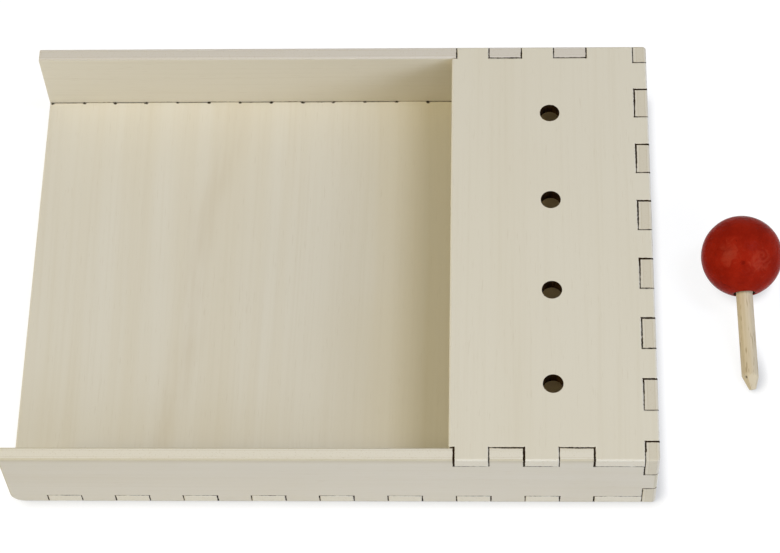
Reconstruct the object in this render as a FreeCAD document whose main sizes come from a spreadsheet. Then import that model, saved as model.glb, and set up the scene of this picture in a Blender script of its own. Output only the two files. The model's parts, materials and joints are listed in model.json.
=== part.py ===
# A plywood tray with a covered end, and the loose jack that stands in its holes. Millimetres.
# The origin is the centre of the tray's underside: +X to the covered end, +Y to the back, +Z up.

import os

import FreeCAD
import Part
import Sketcher

doc = FreeCAD.newDocument("jack_in_the_box")
sheet = doc.addObject("Spreadsheet::Sheet", "sheet")

DRIVING_SIZES = {
    # Plywood and its finger joints
    "ply": 4.0,
    "finger": 10.0,
    "open_finger": 11.0,
    "joint_gap": 0.2,
    # Tray, outside
    "box_length": 189.0,
    "box_depth": 142.0,
    "box_height": 28.0,
    "corner_round": 4.0,
    # Cover over the right end
    "cover_width": 60.0,
    "cover_corner_tab": 14.5,
    "hole_count": 4,
    "hole_spacing": 31.0,
    "hole_clearance": 0.5,
    # Jack: a drilled ball on a dowel
    "ball_diameter": 24.5,
    "peg_diameter": 5.0,
    "peg_length": 41.25,
    "glue_gap": 0.1,
    "mouth_diameter": 7.0,
    "tip_length": 4.5,
    "tip_diameter": 1.8,
    "tip_offset": 0.45,
    # Where the jack lies on the table, and how far its peg is turned from straight to the front
    "jack_stand_off": 27.7,
    "jack_back": 4.9,
    "jack_turn": 2.6,
}
for row, (alias, value) in enumerate(DRIVING_SIZES.items(), 1):
    sheet.set(f"A{row}", alias)
    sheet.set(f"B{row}", str(value))
    sheet.setAlias(f"B{row}", alias)
doc.recompute()


def size(alias):
    """A cell of the sheet, as an expression."""
    return f"sheet.{alias}"


PLY = size("ply")
FINGER = size("finger")
OPEN_FINGER = size("open_finger")
GAP = size("joint_gap")
LENGTH = size("box_length")
DEPTH = size("box_depth")
HEIGHT = size("box_height")

# Two neighbouring fingers make one pitch. Every notch is a gap wider than the finger that it takes.
PITCH = f"(2 * {FINGER})"
NOTCH = f"({FINGER} + {GAP})"
EDGE_NOTCH_DEPTH = f"({PLY} + {GAP})"

# Along the tray, from its open left end, where the walls' first finger is a little longer than the rest:
# the inner face of the end wall, and the last, longer base tab.
END_FACE = f"({LENGTH} - {PLY})"
BASE_TABS = f"floor(({END_FACE} - {OPEN_FINGER} - {FINGER} / 2) / {PITCH})"
LAST_BASE_TAB = f"({OPEN_FINGER} + {PITCH} * {BASE_TABS})"

# Along the cover, from the end wall: a longer corner tab, then pairs of a wall finger and a cover tab.
COVER_EDGE = f"({LENGTH} - {size('cover_width')})"
COVER_CORNER = f"({END_FACE} - {size('cover_corner_tab')})"
COVER_PAIRS = f"floor(({COVER_CORNER} - {COVER_EDGE}) / {PITCH})"
COVER_SHOULDER = f"({COVER_CORNER} - {PITCH} * {COVER_PAIRS})"

# Across the tray: end-wall fingers between plate tabs, centred, with what is left over at the corners.
END_FINGERS = f"floor(({DEPTH} - 2 * {PLY} - {FINGER}) / {PITCH})"
END_CORNER = f"(({DEPTH} - {FINGER} - {PITCH} * {END_FINGERS}) / 2)"

# Up each right-hand corner: end wall, long wall and end wall again, a third of the height each.
THIRD = f"({HEIGHT} / 3)"

BALL_RADIUS = f"({size('ball_diameter')} / 2)"
PEG_RADIUS = f"({size('peg_diameter')} / 2)"
MOUTH_RADIUS = f"({size('mouth_diameter')} / 2)"
SHANK = f"({size('peg_length')} - {size('tip_length')})"

# Two points of a shape closer than this are the same point.
SAME_POINT = 1e-6


def number(expression):
    """What an expression comes to with the sheet as it stands."""
    return float(sheet.evalExpression(expression))


def add_body(label, place, turn):
    """A body at a place, with yaw, pitch and roll, all of them expressions."""
    body = doc.addObject("PartDesign::Body", label)
    body.Label = label
    spot = "; ".join(place)
    angles = "; ".join(turn)
    body.setExpression("Placement", f"placement(vector({spot}); rotation({angles}))")
    return body


def add_sketch(body, name, lift=None):
    """A sketch on the body's XY plane, or lifted off it along its normal."""
    sketch = body.newObject("Sketcher::SketchObject", name)
    plane = next(f for f in body.Origin.OriginFeatures if f.Role == "XY_Plane")
    sketch.AttachmentSupport = (plane, [""])
    sketch.MapMode = "FlatFace"
    if lift:
        sketch.setExpression("AttachmentOffset.Base.z", lift)
    return sketch


def bind(sketch, constraint, name, expression):
    """Adds a named constraint that follows an expression."""
    sketch.renameConstraint(sketch.addConstraint(constraint), name)
    sketch.setExpression(f"Constraints.{name}", expression)


def draw_rectangle(sketch, left, bottom, width, height):
    """A rectangle placed and sized by four expressions."""
    x, y = number(left), number(bottom)
    right, top = x + number(width), y + number(height)
    corners = [FreeCAD.Vector(*c, 0) for c in ((x, y), (right, y), (right, top), (x, top))]
    for start, end in zip(corners, corners[1:] + corners[:1]):
        sketch.addGeometry(Part.LineSegment(start, end))
    for side in range(4):
        sketch.addConstraint(Sketcher.Constraint("Coincident", side, 2, (side + 1) % 4, 1))
        sketch.addConstraint(Sketcher.Constraint("Vertical" if side % 2 else "Horizontal", side))
    bind(sketch, Sketcher.Constraint("DistanceX", -1, 1, 0, 1, x), "left", left)
    bind(sketch, Sketcher.Constraint("DistanceY", -1, 1, 0, 1, y), "bottom", bottom)
    bind(sketch, Sketcher.Constraint("DistanceX", 0, 1, 0, 2, right - x), "width", width)
    bind(sketch, Sketcher.Constraint("DistanceY", 1, 1, 1, 2, top - y), "height", height)


def draw_circle(sketch, x, y, diameter):
    """A circle placed and sized by three expressions."""
    centre = FreeCAD.Vector(number(x), number(y), 0)
    sketch.addGeometry(Part.Circle(centre, FreeCAD.Vector(0, 0, 1), number(diameter) / 2))
    bind(sketch, Sketcher.Constraint("DistanceX", -1, 1, 0, 3, centre.x), "across", x)
    bind(sketch, Sketcher.Constraint("DistanceY", -1, 1, 0, 3, centre.y), "along", y)
    bind(sketch, Sketcher.Constraint("Diameter", 0, number(diameter)), "diameter", diameter)


def repeat(body, feature, axis, count, pitch):
    """Copies of a feature in a row along its sketch's axis."""
    row_of = body.newObject("PartDesign::LinearPattern", f"{feature.Name}_row")
    row_of.Originals = [feature]
    row_of.Direction = (feature.Profile[0], [axis])
    row_of.Mode = "Spacing"
    row_of.setExpression("Offset", pitch)
    row_of.setExpression("Occurrences", count)
    body.Tip = row_of


def cut_notch(body, name, left, bottom, width, height, axis=None, count=None):
    """A notch through a plate, once or in a row at the finger pitch. It has to take material away."""
    doc.recompute()
    before = body.Shape.Volume
    sketch = add_sketch(body, f"{body.Name}_{name}_sketch")
    draw_rectangle(sketch, left, bottom, width, height)
    pocket = body.newObject("PartDesign::Pocket", f"{body.Name}_{name}")
    pocket.Profile = sketch
    pocket.Type = "ThroughAll"
    pocket.Reversed = True
    if axis:
        repeat(body, pocket, axis, count, PITCH)
    doc.recompute()
    if not body.Shape.Volume < before:
        raise RuntimeError(f"{pocket.Name} takes nothing from {body.Name}")


def add_plate(label, place, turn, left, width, height):
    """A plywood blank of the given outline, one ply thick."""
    body = add_body(label, place, turn)
    sketch = add_sketch(body, f"{label}_outline")
    draw_rectangle(sketch, left, "0", width, height)
    pad = body.newObject("PartDesign::Pad", f"{label}_blank")
    pad.Profile = sketch
    pad.setExpression("Length", PLY)
    return body


def notch_for_end_wall(body):
    """Notches in a flat plate's right edge: a row for the end wall's fingers and one at each corner."""
    edge = f"{END_FACE} - {GAP}"
    first = f"{END_CORNER} + {FINGER} - {GAP} / 2"
    corner = f"{END_CORNER} + {GAP} / 2"
    cut_notch(body, "end_fingers", edge, first, EDGE_NOTCH_DEPTH, NOTCH, "V_Axis", END_FINGERS)
    cut_notch(body, "front_corner", edge, "0", EDGE_NOTCH_DEPTH, corner)
    cut_notch(body, "back_corner", edge, f"{DEPTH} - ({corner})", EDGE_NOTCH_DEPTH, corner)


def both_long_edges():
    """The name and the lowest Y of the notches along a flat plate's front and back edges."""
    return (("front", "0"), ("back", f"{DEPTH} - {EDGE_NOTCH_DEPTH}"))


def build_base_plate():
    """The tray's floor, with tabs through the front, back and end walls."""
    place = (f"-{LENGTH} / 2", f"-{DEPTH} / 2", "0")
    body = add_plate("base_plate", place, ("0", "0", "0"), "0", LENGTH, DEPTH)
    for edge, bottom in both_long_edges():
        cut_notch(body, f"{edge}_end", "0", bottom, f"{OPEN_FINGER} + {GAP} / 2", EDGE_NOTCH_DEPTH)
        first = f"{OPEN_FINGER} + {FINGER} - {GAP} / 2"
        cut_notch(body, f"{edge}_row", first, bottom, NOTCH, EDGE_NOTCH_DEPTH, "H_Axis", BASE_TABS)
    notch_for_end_wall(body)
    return body


def build_long_wall(label, back_face):
    """A long wall: notched below for base tabs and above for cover tabs, stepped at its right end."""
    place = (f"-{LENGTH} / 2", back_face, "0")
    body = add_plate(label, place, ("0", "0", "90"), "0", LENGTH, HEIGHT)
    seat = f"{HEIGHT} - {PLY}"
    first = f"{OPEN_FINGER} - {GAP} / 2"
    cut_notch(body, "base_tabs", first, "0", NOTCH, PLY, "H_Axis", BASE_TABS)
    last = f"{LAST_BASE_TAB} - {GAP} / 2"
    cut_notch(body, "last_base_tab", last, "0", f"{LENGTH} - ({last})", PLY)
    first = f"{COVER_SHOULDER} - {GAP} / 2"
    cut_notch(body, "cover_tabs", first, seat, NOTCH, PLY, "H_Axis", COVER_PAIRS)
    last = f"{COVER_CORNER} - {GAP} / 2"
    cut_notch(body, "cover_corner_tab", last, seat, f"{LENGTH} - ({last})", PLY)
    step = f"{THIRD} + {GAP} / 2"
    edge = f"{END_FACE} - {GAP}"
    cut_notch(body, "lower_step", edge, "0", EDGE_NOTCH_DEPTH, step)
    cut_notch(body, "upper_step", edge, f"{HEIGHT} - ({step})", EDGE_NOTCH_DEPTH, step)
    round_lower_corner(body)
    return body


def round_lower_corner(body):
    """Rounds a long wall's lower corner at the tray's open end."""
    base = body.Tip
    flat = base.Shape.copy()
    flat.Placement = FreeCAD.Placement()
    edges = (
        f"Edge{i}"
        for i, edge in enumerate(flat.Edges, 1)
        if max(abs(edge.BoundBox.XMax), abs(edge.BoundBox.YMax)) < SAME_POINT
    )
    fillet = body.newObject("PartDesign::Fillet", f"{body.Name}_round")
    fillet.Base = (base, [next(edges)])
    fillet.setExpression("Radius", size("corner_round"))


def build_end_wall():
    """The wall across the right end, notched for base tabs, cover tabs and the long walls' fingers."""
    place = (f"{LENGTH} / 2 - {PLY}", f"-{DEPTH} / 2", "0")
    body = add_plate("end_wall", place, ("90", "0", "90"), "0", DEPTH, HEIGHT)
    first = f"{END_CORNER} - {GAP} / 2"
    tabs = f"{END_FINGERS} + 1"
    for name, bottom in (("base_tabs", "0"), ("cover_tabs", f"{HEIGHT} - {PLY}")):
        cut_notch(body, name, first, bottom, NOTCH, PLY, "H_Axis", tabs)
    middle = f"{THIRD} - {GAP} / 2"
    tall = f"{THIRD} + {GAP}"
    for name, left in (("front_middle", "0"), ("back_middle", f"{DEPTH} - {EDGE_NOTCH_DEPTH}")):
        cut_notch(body, name, left, middle, EDGE_NOTCH_DEPTH, tall)
    return body


def build_top_plate():
    """The cover: tabs over three walls, a straight free edge, and a row of holes down its middle."""
    place = (f"-{LENGTH} / 2", f"-{DEPTH} / 2", f"{HEIGHT} - {PLY}")
    width = size("cover_width")
    body = add_plate("top_plate", place, ("0", "0", "0"), COVER_EDGE, width, DEPTH)
    overhang = f"{COVER_SHOULDER} - {COVER_EDGE} + {GAP} / 2"
    first = f"{COVER_SHOULDER} + {FINGER} - {GAP} / 2"
    for edge, bottom in both_long_edges():
        cut_notch(body, f"{edge}_end", COVER_EDGE, bottom, overhang, EDGE_NOTCH_DEPTH)
        cut_notch(body, f"{edge}_row", first, bottom, NOTCH, EDGE_NOTCH_DEPTH, "H_Axis", COVER_PAIRS)
    notch_for_end_wall(body)

    count = size("hole_count")
    spacing = size("hole_spacing")
    diameter = f"{size('peg_diameter')} + 2 * {size('hole_clearance')}"
    sketch = add_sketch(body, "top_plate_hole_sketch")
    middle = f"{COVER_EDGE} + {width} / 2"
    draw_circle(sketch, middle, f"({DEPTH} - {spacing} * ({count} - 1)) / 2", diameter)
    hole = body.newObject("PartDesign::Pocket", "top_plate_hole")
    hole.Profile = sketch
    hole.Type = "ThroughAll"
    hole.Reversed = True
    repeat(body, hole, "V_Axis", count, spacing)
    return body


def jack_place():
    """The jack's frame, from the ball's centre down the peg: ball and peg's shoulder touch the table."""
    place = (f"{LENGTH} / 2 + {size('jack_stand_off')}", size("jack_back"), BALL_RADIUS)
    dip = f"asin({BALL_RADIUS} / hypot({SHANK}; {PEG_RADIUS})) - atan({PEG_RADIUS} / {SHANK})"
    return place, (size("jack_turn"), "0", f"90 deg + {dip}")


def build_jack_ball():
    """A ball drilled to its centre for the peg, with the hole's mouth opened out to a cone."""
    body = add_body("jack_ball", *jack_place())
    ball = body.newObject("PartDesign::AdditiveSphere", "jack_ball_round")
    ball.setExpression("Radius", BALL_RADIUS)
    doc.recompute()
    bore = f"{size('peg_diameter')} + 2 * {size('glue_gap')}"
    sketch = add_sketch(body, "jack_ball_bore_sketch", BALL_RADIUS)
    draw_circle(sketch, "0", "0", bore)
    drill = body.newObject("PartDesign::Hole", "jack_ball_bore")
    drill.Profile = sketch
    drill.ThreadType = "None"
    drill.setExpression("Diameter", bore)
    drill.DepthType = "Dimension"
    drill.setExpression("Depth", BALL_RADIUS)
    drill.DrillPoint = "Flat"
    drill.HoleCutType = "Countersink"
    drill.HoleCutCustomValues = True
    drill.HoleCutCountersinkAngle = 90
    # The right-angled cone starts on the plane that touches the ball, so it is wider there than at the skin.
    skin_drop = f"({BALL_RADIUS} - sqrt({BALL_RADIUS} ^ 2 - {MOUTH_RADIUS} ^ 2))"
    drill.setExpression("HoleCutDiameter", f"2 * ({MOUTH_RADIUS} + {skin_drop})")
    return body


def build_jack_peg():
    """A dowel from the ball's centre to a blunt point that was cut more from one side."""
    body = add_body("jack_peg", *jack_place())
    sketch = add_sketch(body, "jack_peg_round")
    draw_circle(sketch, "0", "0", size("peg_diameter"))
    shank = body.newObject("PartDesign::Pad", "jack_peg_shank")
    shank.Profile = sketch
    shank.setExpression("Length", SHANK)
    shoulder = add_sketch(body, "jack_peg_shoulder", SHANK)
    draw_circle(shoulder, "0", "0", size("peg_diameter"))
    end = add_sketch(body, "jack_peg_end", size("peg_length"))
    draw_circle(end, size("tip_offset"), "0", size("tip_diameter"))
    doc.recompute()
    tip = body.newObject("PartDesign::AdditiveLoft", "jack_peg_tip")
    tip.Profile = shoulder
    tip.Sections = [end]
    tip.Ruled = True
    return body


bodies = [
    build_base_plate(),
    build_long_wall("front_wall", f"{PLY} - {DEPTH} / 2"),
    build_long_wall("back_wall", f"{DEPTH} / 2"),
    build_end_wall(),
    build_top_plate(),
    build_jack_ball(),
    build_jack_peg(),
]
doc.recompute()

failed = [o.Name for o in doc.Objects if {"Invalid", "Error"} & set(o.State)]
if failed:
    raise RuntimeError(f"these features failed: {failed}")
for body in bodies:
    if body.Shape.isNull() or not body.Shape.isValid() or len(body.Shape.Solids) != 1:
        raise RuntimeError(f"{body.Label} is not one valid solid")

os.makedirs("parts", exist_ok=True)
for body in bodies:
    body.Shape.exportStep(f"parts/{body.Label}.step")
    print(f"{body.Label}: {body.Shape.Volume:.1f} mm3")
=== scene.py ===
"""A small plywood tray toy with a pegged red ball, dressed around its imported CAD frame."""

import json
import math

import bmesh
import bpy
from mathutils import Matrix, Vector, noise


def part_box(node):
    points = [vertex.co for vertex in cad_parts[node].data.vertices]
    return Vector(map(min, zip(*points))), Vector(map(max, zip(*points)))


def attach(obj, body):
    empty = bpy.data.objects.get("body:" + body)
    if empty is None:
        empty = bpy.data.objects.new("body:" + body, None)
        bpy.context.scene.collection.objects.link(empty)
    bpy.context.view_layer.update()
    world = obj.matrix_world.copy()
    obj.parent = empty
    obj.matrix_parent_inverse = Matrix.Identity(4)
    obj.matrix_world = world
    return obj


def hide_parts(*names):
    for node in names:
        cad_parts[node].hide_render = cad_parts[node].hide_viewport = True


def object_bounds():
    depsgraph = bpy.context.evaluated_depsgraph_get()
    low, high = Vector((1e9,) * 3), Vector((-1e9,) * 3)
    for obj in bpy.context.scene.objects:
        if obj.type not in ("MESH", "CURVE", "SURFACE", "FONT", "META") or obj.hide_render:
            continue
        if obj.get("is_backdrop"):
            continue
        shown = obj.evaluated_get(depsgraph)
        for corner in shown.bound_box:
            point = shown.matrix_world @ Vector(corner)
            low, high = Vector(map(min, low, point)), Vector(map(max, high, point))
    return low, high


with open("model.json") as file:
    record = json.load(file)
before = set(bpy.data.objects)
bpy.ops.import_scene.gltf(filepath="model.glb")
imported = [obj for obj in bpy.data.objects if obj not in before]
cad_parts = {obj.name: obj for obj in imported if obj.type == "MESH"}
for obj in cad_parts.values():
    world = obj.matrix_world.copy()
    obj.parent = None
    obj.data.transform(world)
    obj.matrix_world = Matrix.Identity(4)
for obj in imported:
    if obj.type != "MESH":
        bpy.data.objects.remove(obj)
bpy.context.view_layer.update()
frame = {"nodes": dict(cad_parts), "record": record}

# Units and tolerances, with folds in radians
MM = 0.001
TINY = 0.02 * MM
MERGE = 0.002 * MM
BAND_MERGE = 0.003 * MM
SLICE_SNAP = 0.001 * MM
FLAT = 0.9995
FLAT_FOLD = math.radians(0.8)
SHARP_FOLD = math.radians(34)
RIM_FOLD = 0.5
CORNER_FOLD = 1.2

# The glued box as the frame gives it, whose outer planes are sanded after it is put together
FLOOR_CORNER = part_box("base_plate")[1]
BOX_X = FLOOR_CORNER.x
BOX_Y = FLOOR_CORNER.y
PLY = FLOOR_CORNER.z
BOX_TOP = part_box("end_wall")[1].z
COVER_FREE_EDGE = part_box("top_plate")[0].x
HOLES = [Vector(mount["pos_m"]) for mount in frame["record"]["mounts"] if mount["kind"] == "bore"]
HOLE_ROW_X = HOLES[0].x
HOLE_REACH = 5 * MM

# The finger joints, as the laser cut them
JOINT_GAP = 0.2 * MM
OPEN_FINGER = 11 * MM
TAB_WIDTH = 10 * MM
FIRST_TAB = -BOX_X + OPEN_FINGER
SEAM_Y = BOX_Y - PLY - JOINT_GAP
LONG_SEAT_Y = 60 * MM
ROUNDED_END = -BOX_X + 6.5 * MM

# Hand finish: eased edges, glue, and burn beside the cuts
CORNER_EASE = 1.1 * MM
CORNER_SEGMENTS = 5
EDGE_EASE = 0.42 * MM
EASE_SEGMENTS = 3
GLUE_SETBACK = 0.1 * MM
GLUE_FILL = 0.96
GLUE_MARGIN = 0.5 * MM
SCORCH_BAND = 0.4 * MM
CORNER_BURN_REACH = 0.55 * MM
BAND_LEAST = 4 * CORNER_BURN_REACH
BAND_CORNERS = 12
VENEER_FACE, SANDED_FACE, CUT_FACE, GLUE_FACE = 0, 1, 2, 3

# How far the burn spreads from each kind of cut, and how much further at a plate's inner corners
HOLE_BURN = 0.3
SEAT_BURN = 0.4
FLOOR_BURN = 0.52
PLAIN_BURN = 0.55
FRONT_TAB_TOP_BURN = 0.66
FRONT_TAB_SIDE_BURN = 0.57
FRONT_OPEN_BURN = 0.95
FRONT_CLOSED_BURN = 0.5
COVER_OPEN_BURN = 0.9
COVER_CLOSED_BURN = 0.5
END_OPEN_BURN = 0.85
END_NOTCH_BURN = 0.46
END_TAB_BURN = 0.47
CORNER_BURN = {"base_plate": 0.4, "front_wall": 0.08, "back_wall": 0.2, "end_wall": 0.08, "top_plate": 0.1}

# Marks on the veneer and sanded edges, with the reach of painted shade by the cover, along the seams and
# at the top edges
STREAK_START = -44.4 * MM
STREAK_SLOPE = 0.134
STREAK_WIDTH = 7 * MM
STREAK_WANDER = 12 * MM
# Painted shade on the floor grows over this reach from the middle towards the cover
SHADE_SIDE_REACH = 24 * MM
SEAM_SHADE_WIDTH = 0.3 * MM
DOT_CORE = 0.35 * MM
DOT_REACH = 0.75 * MM
DOT_BLOT = 1.2 * MM
# Painted shade at the top of the front wall, and along the arrises of its sanded edges
TOP_SHADE_START = BOX_TOP - 2.4 * MM
TOP_SHADE_FULL = BOX_TOP - 0.6 * MM
RIM_SHADE_START = 1.25 * MM
RIM_SHADE_FULL = 1.75 * MM
LAYER_DEPTH = 1.09 * MM
LAYER_FADE = 0.07 * MM
LAYER_WANDER = 0.22 * MM
GLUE_LINE_CORE = 0.02 * MM
GLUE_LINE_REACH = 0.11 * MM

# How glossy each finish is, and how deep its fine relief
VENEER_GLOSS = 0.12
VENEER_RELIEF = 0.04 * MM
EDGE_GLOSS = 0.1
EDGE_RELIEF = 0.05 * MM
CHAR_GLOSS = 0.03
CHAR_RELIEF = 0.06 * MM
GLUE_GLOSS = 0.1
PAINT_GLOSS = 0.012
PAINT_RELIEF = 0.5 * MM
DOWEL_GLOSS = 0.25
DOWEL_RELIEF = 0.05 * MM


# Small helpers for shader trees

def add_node(tree, kind, inputs=None, **settings):
    """A node with its settings made and its sockets set or linked."""
    made = tree.nodes.new(kind)
    for name, value in settings.items():
        setattr(made, name, value)
    for socket, value in (inputs or {}).items():
        if isinstance(value, bpy.types.NodeSocket):
            tree.links.new(value, made.inputs[socket])
        else:
            made.inputs[socket].default_value = value
    return made


def maths(tree, operation, first, second=0.0, third=0.0, clamp=False):
    inputs = {0: first, 1: second, 2: third}
    return add_node(tree, "ShaderNodeMath", inputs, operation=operation, use_clamp=clamp).outputs[0]


def vector_maths(tree, operation, inputs):
    return add_node(tree, "ShaderNodeVectorMath", inputs, operation=operation).outputs[0]


def stretch(tree, vector, scales):
    """A vector scaled differently along each of its axes."""
    return vector_maths(tree, "MULTIPLY", {0: vector, 1: scales})


def grain_noise(tree, vector, scale, detail=2.0, roughness=0.5, distortion=0.0):
    inputs = {
        "Vector": vector, "Scale": scale, "Detail": detail,
        "Roughness": roughness, "Distortion": distortion,
    }
    return add_node(tree, "ShaderNodeTexNoise", inputs)


def ramp(tree, value, low, high, to_low=0.0, to_high=1.0):
    """A smooth step of a value from low to high."""
    inputs = {"Value": value, "From Min": low, "From Max": high, "To Min": to_low, "To Max": to_high}
    return add_node(tree, "ShaderNodeMapRange", inputs, interpolation_type="SMOOTHSTEP").outputs[0]


def mix_colour(tree, share, first, second):
    inputs = {0: share, 6: first, 7: second}
    return add_node(tree, "ShaderNodeMix", inputs, data_type="RGBA").outputs[2]


def tint(tree, colour, mask, strength, tone):
    """A colour drawn towards a tone by a share of a mask."""
    return mix_colour(tree, maths(tree, "MULTIPLY", mask, strength), colour, tone)


def shared_group(name, takes, gives):
    """An empty shader group with its named sockets."""
    group = bpy.data.node_groups.new(name, "ShaderNodeTree")
    for socket, kind, start in takes:
        made = group.interface.new_socket(socket, in_out="INPUT", socket_type=kind)
        if start is not None:
            made.default_value = start
    for socket in gives:
        group.interface.new_socket(socket, in_out="OUTPUT", socket_type="NodeSocketFloat")
    start = group.nodes.new("NodeGroupInput")
    end = group.nodes.new("NodeGroupOutput")
    return group, start.outputs, end


def use_group(tree, group, inputs):
    return add_node(tree, "ShaderNodeGroup", inputs, node_tree=group).outputs


def finish_group(group, end, outputs):
    for socket, value in outputs.items():
        group.links.new(value, end.inputs[socket])
    return group


def linear(red, green, blue):
    """A colour written as it looks on screen, from 0 to 255, as the shader needs it."""
    def one(level):
        share = level / 255
        if share <= 0.04045:
            return share / 12.92
        return ((share + 0.055) / 1.055) ** 2.4
    return (one(red), one(green), one(blue), 1.0)


# Effects that several finishes share

def make_wood_grain():
    """Streaks, lines and flecks that run along the second axis of Place."""
    group, takes, end = shared_group(
        "wood_grain",
        [("Place", "NodeSocketVector", None), ("Wander", "NodeSocketFloat", 0.004)],
        ["Streaks", "Lines", "Flecks", "Patches", "Height"],
    )
    place = takes["Place"]
    drift = grain_noise(group, stretch(group, place, (9, 5, 9)), 1.0, 1.0)
    centred = vector_maths(group, "SUBTRACT", {0: drift.outputs["Color"], 1: (0.5, 0.5, 0.5)})
    moved = vector_maths(group, "SCALE", {0: centred, "Scale": takes["Wander"]})
    bent = vector_maths(group, "ADD", {0: place, 1: moved})
    streaks = grain_noise(group, stretch(group, bent, (75, 2.2, 75)), 1.0, 3.0, 0.55).outputs["Fac"]
    lines = grain_noise(group, stretch(group, bent, (900, 10, 900)), 1.0, 2.0, 0.6).outputs["Fac"]
    flecks = grain_noise(group, stretch(group, bent, (3000, 170, 3000)), 1.0, 1.0).outputs["Fac"]
    patches = grain_noise(group, stretch(group, place, (22, 16, 22)), 1.0, 2.0, 0.5).outputs["Fac"]
    fleck_mask = ramp(group, flecks, 0.64, 0.78)
    lowered = maths(group, "MULTIPLY", fleck_mask, -0.5)
    height = maths(group, "ADD", lines, lowered)
    return finish_group(group, end, {
        "Streaks": streaks, "Lines": lines, "Flecks": fleck_mask, "Patches": patches, "Height": height,
    })


def make_laser_scorch():
    """Uneven burnt rims beside a laser cut, from the piece's own scorch value."""
    group, takes, end = shared_group(
        "laser_scorch",
        [("Place", "NodeSocketVector", None), ("Scorch", "NodeSocketFloat", 0.0)],
        ["Burn", "Haze"],
    )
    short = grain_noise(group, takes["Place"], 1100.0, 1.0).outputs["Fac"]
    long = grain_noise(group, takes["Place"], 230.0, 1.0).outputs["Fac"]
    long_wobble = maths(group, "MULTIPLY_ADD", long, 0.38, -0.02)
    edge = maths(group, "MULTIPLY_ADD", short, 0.46, long_wobble)
    burn = ramp(group, maths(group, "SUBTRACT", takes["Scorch"], edge), -0.05, 0.09)
    haze = maths(group, "MULTIPLY", takes["Scorch"], takes["Scorch"], clamp=True)
    return finish_group(group, end, {"Burn": burn, "Haze": haze})


def make_ply_layers():
    """Core, glue lines and open pores on the sawn edge of three-layer ply."""
    group, takes, end = shared_group(
        "ply_layers",
        [("Place", "NodeSocketVector", None), ("Across", "NodeSocketFloat", 0.0)],
        ["Core", "Glue", "Pores"],
    )
    uneven = grain_noise(group, takes["Place"], 160.0, 2.0).outputs["Fac"]
    shift = maths(group, "MULTIPLY", maths(group, "SUBTRACT", uneven, 0.5), LAYER_WANDER)
    across = maths(group, "ABSOLUTE", maths(group, "ADD", takes["Across"], shift))
    core = ramp(group, across, LAYER_DEPTH - LAYER_FADE, LAYER_DEPTH + LAYER_FADE, 1.0, 0.0)
    off_line = maths(group, "ABSOLUTE", maths(group, "SUBTRACT", across, LAYER_DEPTH))
    glue = ramp(group, off_line, GLUE_LINE_CORE, GLUE_LINE_REACH, 1.0, 0.0)
    pores = ramp(group, grain_noise(group, takes["Place"], 2400.0, 1.0).outputs["Fac"], 0.58, 0.75)
    return finish_group(group, end, {"Core": core, "Glue": glue, "Pores": pores})


WOOD_GRAIN = make_wood_grain()
LASER_SCORCH = make_laser_scorch()
PLY_LAYERS = make_ply_layers()

PALE_VENEER = linear(217, 211, 195)
WARM_VENEER = linear(212, 204, 184)
COVER_WARM = linear(214, 207, 189)
FRONT_GREY = linear(212, 206, 193)
FRONT_WARM = linear(207, 199, 182)
BRIGHT_VENEER = linear(225, 218, 200)
BRIGHT_WARM = linear(221, 212, 190)
FLOOR_PALE = linear(216, 211, 198)
FLOOR_WARM = linear(212, 205, 188)
# Painted shade on the tray floor by the cover
FLOOR_SHADE_TAN = linear(211, 201, 172)
STREAK_TAN = linear(192, 178, 152)
GRAIN_LINE = linear(188, 174, 144)
FLECK_BROWN = linear(168, 150, 116)
# Smoke haze beside the cuts, also used as painted shade on the tray floor under the cover
SMOKE_AND_SHADE_TAN = linear(176, 150, 108)
BURNT_BROWN = linear(40, 29, 17)
CUT_AND_BORE_BROWN = linear(60, 40, 20)
CUT_AND_BORE_BLACK = linear(30, 18, 9)
DRIED_GLUE = linear(120, 103, 74)
SOOTY_GLUE = linear(66, 53, 34)
# Painted shade at the top edges of the front wall
EDGE_SHADE_TAN = linear(182, 172, 144)
# Painted shade along the floor's seams with the walls
SEAM_SHADE_BROWN = linear(112, 98, 68)
SANDED_EDGE = linear(224, 219, 206)
EDGE_CORE = linear(216, 209, 193)
END_TAN = linear(211, 204, 188)
END_CORE = linear(203, 195, 176)
GREY_EDGE = linear(212, 206, 197)
GREY_CORE = linear(203, 196, 184)
GLUE_LINE = linear(178, 162, 130)


def new_material(name):
    material = bpy.data.materials.new(name)
    material.use_nodes = True
    tree = material.node_tree
    shader = tree.nodes["Principled BSDF"]
    return material, tree, shader


def place_on_piece(tree):
    """A piece's own coordinates, which are also its places in the frame at rest."""
    return add_node(tree, "ShaderNodeTexCoord").outputs["Object"]


def set_surface(tree, shader, colour, rough, gloss):
    """Links a finish's colour and roughness, and sets its one level of gloss."""
    tree.links.new(colour, shader.inputs["Base Color"])
    tree.links.new(rough, shader.inputs["Roughness"])
    shader.inputs["Specular IOR Level"].default_value = gloss


def scorch_of_piece(tree, place):
    """The burn and haze beside the laser cuts of a plate."""
    mark = add_node(tree, "ShaderNodeAttribute", attribute_name="scorch").outputs["Fac"]
    return use_group(tree, LASER_SCORCH, {"Place": place, "Scorch": mark})


def add_bump(tree, shader, height, strength, distance):
    bump = add_node(tree, "ShaderNodeBump", {"Strength": strength, "Distance": distance, "Height": height})
    tree.links.new(bump.outputs["Normal"], shader.inputs["Normal"])


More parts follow.
